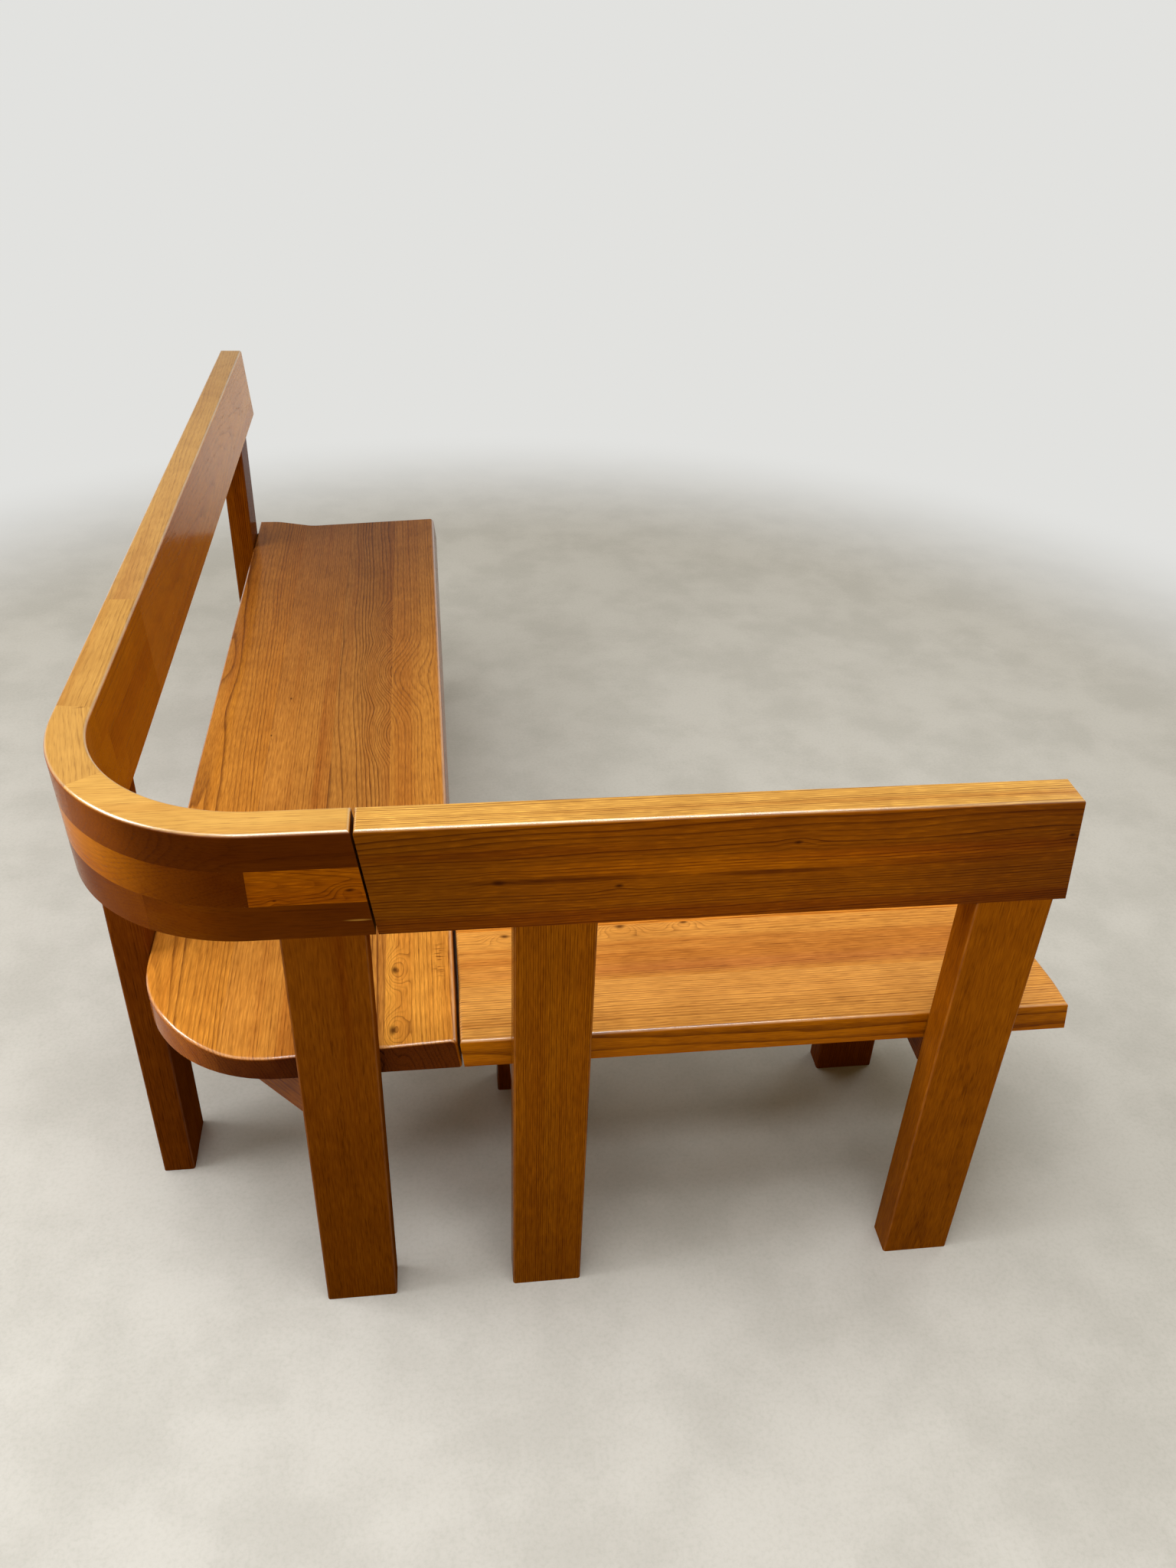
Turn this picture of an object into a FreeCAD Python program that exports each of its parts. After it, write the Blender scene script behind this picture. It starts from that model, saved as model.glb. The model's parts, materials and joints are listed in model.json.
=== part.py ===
import FreeCAD, Part
import math
import os
import re

import Sketcher

# Corner bench of two free-standing wooden modules set in an L.
# The long module runs along +Y. Its back turns the corner as a stack of three courses.
# The short module runs along +X and stands in front of the long seat, with a narrow gap.
# All sizes are millimetres. Places are measured from the datum corner, where the rear faces of
# the two rows of legs would cross on the floor. The origin is the middle of the bench's floor box.

SIZES = (
    # seats
    ("seat_height", 450, "floor to the flat strip along a seat's rear edge"),
    ("seat_thickness", 46, "seat slab at its rear edge"),
    ("seat_depth", 414, "rear edge to front edge, on top"),
    ("seat_rear_flat", 44, "width of the flat strip along the rear edge"),
    ("seat_valley_drop", 12, "lowest line of the dished top, below the flat strip"),
    ("seat_valley_setback", 122, "rear edge to the lowest line"),
    ("seat_front_rise", 3, "front edge above the flat strip"),
    ("seat_crease_round", 160, "radius that softens the dish's two creases"),
    ("seat_front_round", 9, "radius of the front edge"),
    ("seat_edge_round", 5, "radius of the other top edges"),
    ("seat_corner_radius", 190, "rounded outer corner of the long seat, in plan"),
    ("seat_gap", 0.5, "shadow gap between a seat's rear edge and the legs"),
    ("rear_board_share", 0.266, "rear board's part of a seat's depth"),
    ("inner_board_share", 0.266, "inner board's part of a seat's depth"),
    ("middle_board_share", 0.246, "middle board's part; the front board takes the rest"),
    ("long_seat_end", 1810, "datum corner to the long seat's far end, on top"),
    ("short_seat_end", 1288, "datum corner to the short seat's far end, on top"),
    ("end_slope", 7.2, "degrees by which sawn ends lean out towards the floor"),
    ("module_gap", 3, "free gap between the two modules"),
    # legs and bearers
    ("leg_width", 98, "broad side of every leg"),
    ("leg_thickness", 47, "narrow side of a back leg"),
    ("front_leg_thickness", 43, "narrow side of a front leg"),
    ("leg_round", 4, "radius of a leg's upright edges"),
    ("front_leg_inset", 47.5, "front legs behind the front edge of their seat"),
    ("corner_leg_offset", 16, "start of the back's bend to the corner leg"),
    ("end_leg_offset", 31, "end of the back's bend to the end leg"),
    ("far_leg_inset", 62, "far legs short of the long seat's far end"),
    ("near_leg_inset", 66.5, "near legs in from the short seat's near end"),
    ("outer_leg_inset", 100, "outer legs short of the short seat's far end"),
    ("bearer_width", 96, "broad side of a bearer, laid flat"),
    ("bearer_depth", 43, "bearer from top to underside"),
    ("diagonal_bearer_width", 52, "diagonal bearer from side to side, stood on edge"),
    ("diagonal_bearer_depth", 78, "diagonal bearer from top to underside"),
    # backs
    ("back_bottom", 677, "floor to the underside of the backs"),
    ("course_height", 51, "one of the three courses of a back"),
    ("back_thickness", 47, "back board, front to rear"),
    ("back_lean", 3.6, "degrees by which the backs lean outwards"),
    ("back_edge_round", 5, "radius of a back's top edges"),
    ("corner_radius", 235, "outer radius of the turned back, at its underside"),
    ("corner_top_radius", 262, "outer radius of the turned back, on top"),
    ("stack_arm", 340, "start of the bend to the joint of corner stack and straight back board"),
    ("long_back_overhang", 87, "long back past the long seat's far end, on top"),
    ("turned_back_setback", 9, "turned back short of the end leg's outer side, on top"),
    ("short_back_setback", 105, "short back short of the short seat's far end, on top"),
    # joints of the courses, in degrees round the corner from the start of the bend
    ("bottom_first_joint", -31, "bottom course, straight piece to arc"),
    ("bottom_second_joint", 61, "bottom course, arc to end piece"),
    ("middle_first_joint", -19, "middle course, straight piece to arc"),
    ("middle_second_joint", 91, "middle course, arc to end block"),
    ("top_first_joint", -10, "top course, straight piece to arc"),
    ("top_second_joint", 35, "top course, arc to end piece"),
    # joinery
    ("tenon_shoulder", 15, "leg's edge to its tenon, on the broad side"),
    ("tenon_thickness", 18, "every tenon"),
    ("leg_tenon_length", 40, "leg's tenon into the back"),
    ("bearer_tenon_length", 26, "bearer's tenon into a leg"),
    ("tenon_clearance", 0.2, "glue room round a tenon"),
    ("dowel_diameter", 12, "every dowel"),
    ("dowel_length", 60, "every dowel"),
    ("dowel_in_leg", 24, "part of a dowel that sits in the leg"),
    ("dowel_spread", 48, "distance between the two dowels of a pair"),
    ("stacked_dowel_spread", 36, "height between the two dowels at an end of the diagonal bearer"),
    ("dowel_clearance", 0.15, "glue room round a dowel"),
    ("screw_diameter", 6, "shank of a seat screw"),
    ("screw_length", 48, "seat screw under its head"),
    ("screw_head_diameter", 12, "head of a seat screw"),
    ("screw_head_height", 4, "head of a seat screw"),
    ("screw_recess", 14, "bearer's underside to the seat of the screw's head"),
    ("screw_clearance", 0.2, "room round a screw"),
    ("diagonal_screw_spread", 118, "distance along X between the diagonal bearer's two screws"),
)
ALIASES = {alias for alias, number, meaning in SIZES}
SEAT_BOARDS = ("rear", "inner", "middle", "front")
COURSES = ("bottom", "middle", "top")
SWEEP_START = -80  # degrees, well before the corner stack begins
SWEEP_END = 150  # degrees, well past its near end

# sizes that follow from the sheet, as formulas
BACK_HEIGHT = f"({len(COURSES)} * course_height)"
BACK_TOP = f"(back_bottom + {BACK_HEIGHT})"
BACK_SHIFT = f"({BACK_HEIGHT} * tan(back_lean))"
BACK_SLANT = f"({BACK_HEIGHT} * tan(end_slope))"
SEAT_UNDER = "(seat_height - seat_thickness)"
SEAT_FRONT_TOP = "(seat_height + seat_front_rise)"
SEAT_SLANT = f"(({SEAT_FRONT_TOP} - {SEAT_UNDER}) * tan(end_slope))"
SEAT_REAR = "(leg_thickness + seat_gap)"
SEAT_FRONT = f"({SEAT_REAR} + seat_depth)"
BOARD_STARTS = (
    SEAT_REAR,
    f"({SEAT_REAR} + seat_depth * rear_board_share)",
    f"({SEAT_REAR} + seat_depth * (rear_board_share + inner_board_share))",
    f"({SEAT_REAR} + seat_depth * (rear_board_share + inner_board_share + middle_board_share))",
)
BEARER_UNDER = f"({SEAT_UNDER} - bearer_depth)"
BEARER_MIDDLE = f"({SEAT_UNDER} - bearer_depth / 2)"
SEAT_MIDDLE = "(seat_height - seat_thickness / 2)"
SHORT_SEAT_START = f"({SEAT_FRONT} + module_gap)"
STACK_JOINT = "(corner_radius + stack_arm)"
BEND_REACH = "max(corner_radius; corner_top_radius)"
CORNER_LEG = "(corner_radius + corner_leg_offset)"
END_LEG = "(corner_radius + end_leg_offset)"
FAR_LEG = "(long_seat_end - far_leg_inset - leg_width)"
NEAR_LEG = f"({SHORT_SEAT_START} + near_leg_inset)"
OUTER_LEG = "(short_seat_end - outer_leg_inset - leg_width)"
FRONT_LEGS = f"({SEAT_FRONT} - front_leg_inset - front_leg_thickness)"
LONG_BACK_END = "(long_seat_end + long_back_overhang)"
TURNED_BACK_END = f"({END_LEG} + leg_width - turned_back_setback)"
SHORT_BACK_START = f"({TURNED_BACK_END} + module_gap)"
SHORT_BACK_END = "(short_seat_end - short_back_setback)"
DIAGONAL_REACH = f"({END_LEG} + leg_round + leg_thickness + diagonal_bearer_width / sqrt(2))"
DIAGONAL_UNDER = f"({SEAT_UNDER} - diagonal_bearer_depth)"
DIAGONAL_MIDDLE = f"({SEAT_UNDER} - diagonal_bearer_depth / 2)"
SCREW_ROWS = [f"(({start} + {end}) / 2)" for start, end in zip(BOARD_STARTS, BOARD_STARTS[1:])]
ORIGIN_X = f"(({BACK_SHIFT} - short_seat_end - {SEAT_SLANT}) / 2)"
ORIGIN_Y = f"(({BACK_SHIFT} - {LONG_BACK_END} - {BACK_SLANT}) / 2)"

ALONG_X = FreeCAD.Rotation(FreeCAD.Vector(0, 1, 0), 90)
ALONG_Y = FreeCAD.Rotation(FreeCAD.Vector(1, 0, 0), -90)
UPRIGHT = FreeCAD.Rotation()

doc = FreeCAD.newDocument("CornerBench")
sheet = doc.addObject("Spreadsheet::Sheet", "Sizes")
nodes = []


def fill_sheet():
    """One row per driving size: its name, its number and its meaning."""
    for row, (alias, number, meaning) in enumerate(SIZES, start=1):
        sheet.set(f"A{row}", alias)
        sheet.set(f"B{row}", str(number))
        sheet.set(f"C{row}", meaning)
        sheet.setAlias(f"B{row}", alias)
    doc.recompute()


def ref(formula):
    """The formula with each size's name replaced by its cell in the sheet."""
    def cell(word):
        return f"Sizes.{word[0]}" if word[0] in ALIASES else word[0]

    return re.sub(r"[a-z_]+", cell, str(formula))


def value(formula):
    """The formula's present number."""
    return float(sheet.evalExpression(ref(formula)))


def bind(thing, prop, formula):
    thing.setExpression(prop, ref(formula))


def place(thing, x, y, z, rotation=UPRIGHT):
    """Puts a thing at a place measured from the datum corner."""
    thing.Placement = FreeCAD.Placement(FreeCAD.Vector(), rotation)
    bind(thing, "Placement.Base.x", f"{x} + {ORIGIN_X}")
    bind(thing, "Placement.Base.y", f"{y} + {ORIGIN_Y}")
    bind(thing, "Placement.Base.z", z)


def node(thing, label):
    """Names a finished piece, which is then written to its own file."""
    thing.Label = label
    nodes.append(thing)


# primitives and booleans

def box(name, x, y, z, length, width, height):
    block = doc.addObject("Part::Box", name)
    bind(block, "Length", length)
    bind(block, "Width", width)
    bind(block, "Height", height)
    place(block, x, y, z)
    return block


def rod(name, diameter, length, x, y, z, rotation):
    """A cylinder that starts at the place and runs along the rotated Z."""
    cylinder = doc.addObject("Part::Cylinder", name)
    bind(cylinder, "Radius", f"({diameter}) / 2")
    bind(cylinder, "Height", length)
    place(cylinder, x, y, z, rotation)
    return cylinder


def group(name, members):
    compound = doc.addObject("Part::Compound", name)
    compound.Links = members
    return compound


def common(name, base, tool):
    overlap = doc.addObject("Part::Common", name)
    overlap.Base = base
    overlap.Tool = tool
    return overlap


def fuse(name, members):
    union = doc.addObject("Part::MultiFuse", name)
    union.Shapes = members
    return union


def cut(name, base, tools):
    difference = doc.addObject("Part::Cut", name)
    difference.Base = base
    difference.Tool = group(f"{name}_tools", tools)
    return difference


# bodies and sketches

def new_body(name, x=0, y=0, z=0):
    body = doc.addObject("PartDesign::Body", name)
    place(body, x, y, z)
    return body


def new_sketch(body, name, role, offset="0"):
    """A sketch on one of the body's own base planes, moved along the plane's normal."""
    sketch = body.newObject("Sketcher::SketchObject", name)
    base_plane = next(item for item in body.Origin.OriginFeatures if item.Role == role)
    sketch.AttachmentSupport = (base_plane, [""])
    sketch.MapMode = "FlatFace"
    bind(sketch, "AttachmentOffset.Base.z", offset)
    return sketch


def tie(sketch, kind, element, point, formula):
    """Holds one coordinate of a sketch point at a formula's number."""
    limit = Sketcher.Constraint(kind, -1, 1, element, point, value(formula))
    index = sketch.addConstraint(limit)
    bind(sketch, f"Constraints[{index}]", formula)


def arc_between(start, end, middle):
    """The shorter arc about a middle, and which end of it is the start."""
    one = start - middle
    other = end - middle
    turns_left = one.cross(other).z > 0
    head, tail = (one, other) if turns_left else (other, one)
    begin = math.atan2(head.y, head.x)
    finish = begin + head.getAngle(tail)
    circle = Part.Circle(middle, FreeCAD.Vector(0, 0, 1), one.Length)
    return Part.ArcOfCircle(circle, begin, finish), 1 if turns_left else 2


def outline(sketch, corners):
    """A closed outline tied to the sheet. A corner is (across, up), or (across, up, centre) where an arc
    starts whose middle is (centre, centre)."""
    points = [FreeCAD.Vector(value(corner[0]), value(corner[1]), 0) for corner in corners]
    following = points[1:] + points[:1]
    first = sketch.GeometryCount
    heads = []
    for corner, start, end in zip(corners, points, following):
        piece, head = Part.LineSegment(start, end), 1
        if len(corner) == 3:
            middle = FreeCAD.Vector(value(corner[2]), value(corner[2]), 0)
            piece, head = arc_between(start, end, middle)
        sketch.addGeometry(piece, False)
        heads.append(head)
    for index, corner in enumerate(corners):
        after = (index + 1) % len(corners)
        tail = 3 - heads[index]
        joined = Sketcher.Constraint("Coincident", first + index, tail, first + after, heads[after])
        sketch.addConstraint(joined)
        tie(sketch, "DistanceX", first + index, heads[index], corner[0])
        tie(sketch, "DistanceY", first + index, heads[index], corner[1])
        if len(corner) == 3:
            tie(sketch, "DistanceX", first + index, 3, corner[2])


def feature(body, kind, name, sketch, length, backwards=False):
    """Pads or pockets a sketch, and stops if a pocket took nothing away."""
    before = body.Shape.Volume if body.Tip else 0
    made = body.newObject(f"PartDesign::{kind}", name)
    made.Profile = sketch
    made.Reversed = backwards
    bind(made, "Length", length)
    doc.recompute()
    change = body.Shape.Volume - before
    wanted = -1 if kind == "Pocket" else 1
    if change * wanted <= 0:
        raise RuntimeError(f"{body.Name}.{name} changed nothing")
    return made


def fillet(body, name, edges, radius):
    """Rounds edges of the body's present shape, given by their numbers."""
    base = body.Tip
    made = body.newObject("PartDesign::Fillet", name)
    made.Base = (base, [f"Edge{number}" for number in edges])
    bind(made, "Radius", radius)
    doc.recompute()
    return made


def upness(face, point):
    """The upward part of a face's normal near a point."""
    across, along = face.Surface.parameter(point)
    return face.normalAt(across, along).z


def top_outline(shape, keep=lambda middle: True):
    """Numbers of the edges between the top and the sides of a piece."""
    found = []
    for number, edge in enumerate(shape.Edges, start=1):
        middle = edge.valueAt((edge.FirstParameter + edge.LastParameter) / 2)
        faces = shape.ancestorsOfType(edge, Part.Face)
        slopes = sorted(abs(upness(face, middle)) for face in faces)
        looks_up = any(upness(face, middle) > 0.8 for face in faces)
        if len(slopes) == 2 and slopes[0] < 0.3 and looks_up and keep(middle):
            found.append(number)
    return found


def edges_along(shape, axis, keep=lambda middle: True):
    """Numbers of the straight edges that run along an axis."""
    found = []
    for number, edge in enumerate(shape.Edges, start=1):
        if edge.Curve.TypeId != "Part::GeomLine":
            continue
        start = edge.Vertexes[0].Point
        end = edge.Vertexes[-1].Point
        if abs((end - start).normalize().dot(axis)) > 0.9999 and keep((start + end) / 2):
            found.append(number)
    return found


X_AXIS = FreeCAD.Vector(1, 0, 0)
Y_AXIS = FreeCAD.Vector(0, 1, 0)
Z_AXIS = FreeCAD.Vector(0, 0, 1)


# joinery shared by both modules

def leg_spans(start, along_y, across=("0", "leg_thickness")):
    """Plan box of a leg: its broad side along Y or along X."""
    broad = (start, "leg_width")
    return (across, broad) if along_y else (broad, across)


def spot(along_y, broad, across):
    """An (x, y) place from one measured along the leg's broad side and one across it."""
    return (across, broad) if along_y else (broad, across)


def pair(start):
    """Places of the two dowels or screws of a pair, along a leg's broad side."""
    middle = f"({start} + leg_width / 2)"
    return (f"({middle} - dowel_spread / 2)", f"({middle} + dowel_spread / 2)")


def dowel_places(start, along_y, level):
    """Start of each dowel of a pair that runs from a back leg's inside forwards."""
    begin = "(leg_thickness - dowel_in_leg)"
    rotation = ALONG_X if along_y else ALONG_Y
    return [(*spot(along_y, broad, begin), level, rotation) for broad in pair(start)]


def stacked_dowel_places(along_y):
    """Start of each of two dowels, one above the other, from a corner leg into the diagonal bearer."""
    begin = "(leg_thickness - dowel_in_leg)"
    broad = f"({DIAGONAL_REACH} - leg_thickness - (dowel_length - dowel_in_leg) / 2)"
    rotation = ALONG_X if along_y else ALONG_Y
    levels = [f"({DIAGONAL_MIDDLE} {sign} stacked_dowel_spread / 2)" for sign in "-+"]
    return [(*spot(along_y, broad, begin), level, rotation) for level in levels]


def dowels(name, places):
    size = ("dowel_diameter", "dowel_length")
    return [rod(f"{name}_{index}", *size, *at) for index, at in enumerate(places)]


def dowel_bores(name, places):
    bore = "dowel_diameter + 2 * dowel_clearance"
    return [rod(f"{name}_{index}", bore, "dowel_length", *at) for index, at in enumerate(places)]


def screw_places(start, along_y):
    """Places of a straight bearer's six screws."""
    return [spot(along_y, broad, row) for row in SCREW_ROWS for broad in pair(start)]


SCREW_SEAT = f"({BEARER_UNDER} + screw_recess)"


def screws(name, places):
    """Each screw is a head and a shank in one piece."""
    made = []
    under = f"({SCREW_SEAT} - screw_head_height)"
    for index, (x, y) in enumerate(places):
        head = rod(f"{name}_head_{index}", "screw_head_diameter", "screw_head_height", x, y, under, UPRIGHT)
        shank = rod(f"{name}_shank_{index}", "screw_diameter", "screw_length", x, y, SCREW_SEAT, UPRIGHT)
        made.append(fuse(f"{name}_{index}", [head, shank]))
    return made


def screw_bores(name, places, under=BEARER_UNDER):
    """Room for each screw: a recess for its head, from a bearer's underside, and a hole for its shank."""
    made = []
    wide = "screw_head_diameter + 4 * screw_clearance"
    narrow = "screw_diameter + 2 * screw_clearance"
    deep = "screw_length + screw_clearance"
    recess = f"{SCREW_SEAT} - {under}"
    for index, (x, y) in enumerate(places):
        made.append(rod(f"{name}_recess_{index}", wide, recess, x, y, under, UPRIGHT))
        made.append(rod(f"{name}_hole_{index}", narrow, deep, x, y, SCREW_SEAT, UPRIGHT))
    return made


def rectangle(spans, inset_x="0", inset_y="0"):
    """Corners of a plan box, drawn in by an inset."""
    (x, length), (y, width) = spans
    low_x = f"({x} + {inset_x})"
    low_y = f"({y} + {inset_y})"
    high_x = f"({x} + {length} - {inset_x})"
    high_y = f"({y} + {width} - {inset_y})"
    return ((low_x, low_y), (high_x, low_y), (high_x, high_y), (low_x, high_y))


def tenon_insets(along_y, room="0"):
    """How far a leg's tenon stands in from the leg's sides, in X and in Y."""
    shoulder = f"(tenon_shoulder - {room})"
    cheek = f"((leg_thickness - tenon_thickness) / 2 - {room})"
    return (cheek, shoulder) if along_y else (shoulder, cheek)


def leg_blank(name, spans, top):
    body = new_body(name)
    foot = new_sketch(body, f"{name}_foot", "XY_Plane")
    outline(foot, rectangle(spans))
    feature(body, "Pad", f"{name}_post", foot, top)
    fillet(body, f"{name}_edges", edges_along(body.Shape, Z_AXIS), "leg_round")
    return body


def leg_mortise(name, start, along_y):
    """Room in a back's underside for a leg's tenon."""
    insets = tenon_insets(along_y, "tenon_clearance")
    (low, _, high, _) = rectangle(leg_spans(start, along_y), *insets)
    depth = "leg_tenon_length + tenon_clearance"
    return box(name, *low, "back_bottom", f"{high[0]} - {low[0]}", f"{high[1]} - {low[1]}", depth)


def bearer_tenon(name, start, along_y, leg_face, room="0"):
    """A flat tenon, or with room its mortise, that runs forwards from leg_face less its length."""
    reach = f"(bearer_tenon_length + {room})"
    low_broad = f"({start} + tenon_shoulder - {room})"
    broad = f"(leg_width - 2 * tenon_shoulder + 2 * {room})"
    low = f"({BEARER_MIDDLE} - tenon_thickness / 2 - {room})"
    thick = f"(tenon_thickness + 2 * {room})"
    x, y = spot(along_y, low_broad, leg_face)
    length, width = spot(along_y, broad, reach)
    return box(name, x, y, low, length, width, thick)


def back_leg(label, start, along_y, tools):
    """A tall leg with a tenon into the back, and holes for what meets it."""
    body = leg_blank(f"{label}_blank", leg_spans(start, along_y), "back_bottom")
    root = new_sketch(body, f"{label}_tenon_root", "XY_Plane", "back_bottom")
    outline(root, rectangle(leg_spans(start, along_y), *tenon_insets(along_y)))
    feature(body, "Pad", f"{label}_tenon", root, "leg_tenon_length")
    node(cut(f"{label}_cut", body, tools), label)


def trestle(prefix, start, along_y):
    """A back leg, a front leg and the flat bearer between them."""
    rear_face = "(leg_thickness - bearer_tenon_length)"
    seat_dowels = dowel_places(start, along_y, SEAT_MIDDLE)
    rear_mortise = bearer_tenon(
        f"{prefix}_rear_mortise", start, along_y, f"({rear_face} - tenon_clearance)", "tenon_clearance")
    bores = dowel_bores(f"{prefix}_leg_bore", seat_dowels)
    back_leg(f"{prefix}_back_leg", start, along_y, [rear_mortise, *bores])

    spans = leg_spans(start, along_y, (FRONT_LEGS, "front_leg_thickness"))
    front = leg_blank(f"{prefix}_front_leg_blank", spans, SEAT_UNDER)
    front_mortise = bearer_tenon(f"{prefix}_front_mortise", start, along_y, FRONT_LEGS, "tenon_clearance")
    node(cut(f"{prefix}_front_leg_cut", front, [front_mortise]), f"{prefix}_front_leg")

    x, y = spot(along_y, f"({start} + (leg_width - bearer_width) / 2)", "leg_thickness")
    length, width = spot(along_y, "bearer_width", f"{FRONT_LEGS} - leg_thickness")
    rail = box(f"{prefix}_rail", x, y, BEARER_UNDER, length, width, "bearer_depth")
    rear_tenon = bearer_tenon(f"{prefix}_rear_tenon", start, along_y, rear_face)
    front_tenon = bearer_tenon(f"{prefix}_front_tenon", start, along_y, FRONT_LEGS)
    blank = fuse(f"{prefix}_bearer_blank", [rail, rear_tenon, front_tenon])
    places = screw_places(start, along_y)
    holes = screw_bores(f"{prefix}_bearer_bore", places)
    node(cut(f"{prefix}_bearer_cut", blank, holes), f"{prefix}_bearer")
    return seat_dowels, places


# seats

def seat_profile():
    """Section of a seat: its dished top rises from a valley to the front edge."""
    return (
        (SEAT_REAR, SEAT_UNDER),
        (f"({SEAT_FRONT} + {SEAT_SLANT})", SEAT_UNDER),
        (SEAT_FRONT, SEAT_FRONT_TOP),
        (f"({SEAT_REAR} + seat_valley_setback)", "(seat_height - seat_valley_drop)"),
        (f"({SEAT_REAR} + seat_rear_flat)", "seat_height"),
        (SEAT_REAR, "seat_height"),
    )


def soften_dish(body, name, axis, across):
    """Rounds the front edge and the two creases of a seat, while they are still straight."""
    front = value(SEAT_FRONT)
    creases = (value(f"{SEAT_REAR} + seat_rear_flat"), value(f"{SEAT_REAR} + seat_valley_setback"))
    top = value(SEAT_UNDER) + 1
    on_front = edges_along(body.Shape, axis, lambda at: abs(across(at) - front) < 0.01 and at.z > top)
    fillet(body, f"{name}_front_round", on_front, "seat_front_round")
    def is_crease(at):
        return at.z > top and min(abs(across(at) - crease) for crease in creases) < 0.01

    on_crease = edges_along(body.Shape, axis, is_crease)
    fillet(body, f"{name}_crease_round", on_crease, "seat_crease_round")


def local(body, axis):
    """Reads a place's X or Y from the datum corner, on a shape that already stands in the frame."""
    shift = getattr(body.Placement.Base, axis)
    return lambda at: getattr(at, axis) - shift


def long_seat_blank():
    body = new_body("long_seat_blank")
    profile = new_sketch(body, "long_seat_profile", "XZ_Plane", f"-{SEAT_REAR}")
    outline(profile, seat_profile())
    feature(body, "Pad", "long_seat_slab", profile, f"long_seat_end + {SEAT_SLANT} - {SEAT_REAR}", True)
    soften_dish(body, "long_seat", Y_AXIS, local(body, "x"))
    far_end = new_sketch(body, "long_seat_far_end", "YZ_Plane")
    outline(far_end, (
        ("long_seat_end", SEAT_FRONT_TOP),
        (f"(long_seat_end + {SEAT_SLANT})", SEAT_UNDER),
        (f"(long_seat_end + 2 * {SEAT_SLANT})", SEAT_UNDER),
        (f"(long_seat_end + 2 * {SEAT_SLANT})", SEAT_FRONT_TOP),
    ))
    feature(body, "Pocket", "long_seat_far_slope", far_end, f"{SEAT_FRONT} + {SEAT_SLANT} + 1", True)
    corner = new_sketch(body, "long_seat_corner", "XY_Plane", f"{SEAT_FRONT_TOP} + 1")
    centre = f"({SEAT_REAR} + seat_corner_radius)"
    outline(corner, (
        ("0", "0"),
        (centre, "0"),
        (centre, SEAT_REAR, centre),
        (SEAT_REAR, centre),
        ("0", centre),
    ))
    feature(body, "Pocket", "long_seat_corner_round", corner, "2 * seat_thickness")
    fillet(body, "long_seat_edges", top_outline(body.Shape), "seat_edge_round")
    return body


def short_seat_blank():
    body = new_body("short_seat_blank")
    profile = new_sketch(body, "short_seat_profile", "YZ_Plane", SHORT_SEAT_START)
    outline(profile, seat_profile())
    feature(body, "Pad", "short_seat_slab", profile, f"short_seat_end + {SEAT_SLANT} - {SHORT_SEAT_START}")
    soften_dish(body, "short_seat", X_AXIS, local(body, "y"))
    ends = new_sketch(body, "short_seat_ends", "XZ_Plane")
    outline(ends, (
        (SHORT_SEAT_START, SEAT_FRONT_TOP),
        (f"({SHORT_SEAT_START} - 1)", SEAT_FRONT_TOP),
        (f"({SHORT_SEAT_START} - 1)", SEAT_UNDER),
        (f"({SHORT_SEAT_START} + {SEAT_SLANT})", SEAT_UNDER),
    ))
    outline(ends, (
        ("short_seat_end", SEAT_FRONT_TOP),
        (f"(short_seat_end + {SEAT_SLANT})", SEAT_UNDER),
        (f"(short_seat_end + 2 * {SEAT_SLANT})", SEAT_UNDER),
        (f"(short_seat_end + 2 * {SEAT_SLANT})", SEAT_FRONT_TOP),
    ))
    feature(body, "Pocket", "short_seat_slopes", ends, f"{SEAT_FRONT} + {SEAT_SLANT} + 1")
    fillet(body, "short_seat_edges", top_outline(body.Shape), "seat_edge_round")
    return body


def seat_boards(prefix, blank, along_y, tools):
    """Saws a seat into its boards, from the rear to the front."""
    height = f"{SEAT_FRONT_TOP} - {SEAT_UNDER}"
    reach = "long_seat_end + short_seat_end"
    ends = BOARD_STARTS[1:] + (f"({SEAT_FRONT} + {SEAT_SLANT})",)
    for name, start, end in zip(SEAT_BOARDS, BOARD_STARTS, ends):
        x, y = spot(along_y, "0", start)
        length, depth = spot(along_y, reach, f"{end} - {start}")
        strip = box(f"{prefix}_seat_{name}_strip", x, y, SEAT_UNDER, length, depth, height)
        board = common(f"{prefix}_seat_{name}_whole", blank, strip)
        node(cut(f"{prefix}_seat_{name}_cut", board, tools), f"{prefix}_seat_{name}_board")


# backs

def back_section():
    """Section of a straight back, measured from the plane of the legs' rear faces."""
    return (
        ("0", "back_bottom"),
        ("back_thickness", "back_bottom"),
        (f"(back_thickness - {BACK_SHIFT})", BACK_TOP),
        (f"(0 - {BACK_SHIFT})", BACK_TOP),
    )


def slope_waste(end):
    """The wedge sawn off an end that leans out towards the floor, measured on the top."""
    low = f"({end} + {BACK_SLANT})"
    out = f"({end} + 2 * {BACK_SLANT})"
    return ((end, BACK_TOP), (low, "back_bottom"), (out, "back_bottom"), (out, BACK_TOP))


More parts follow.
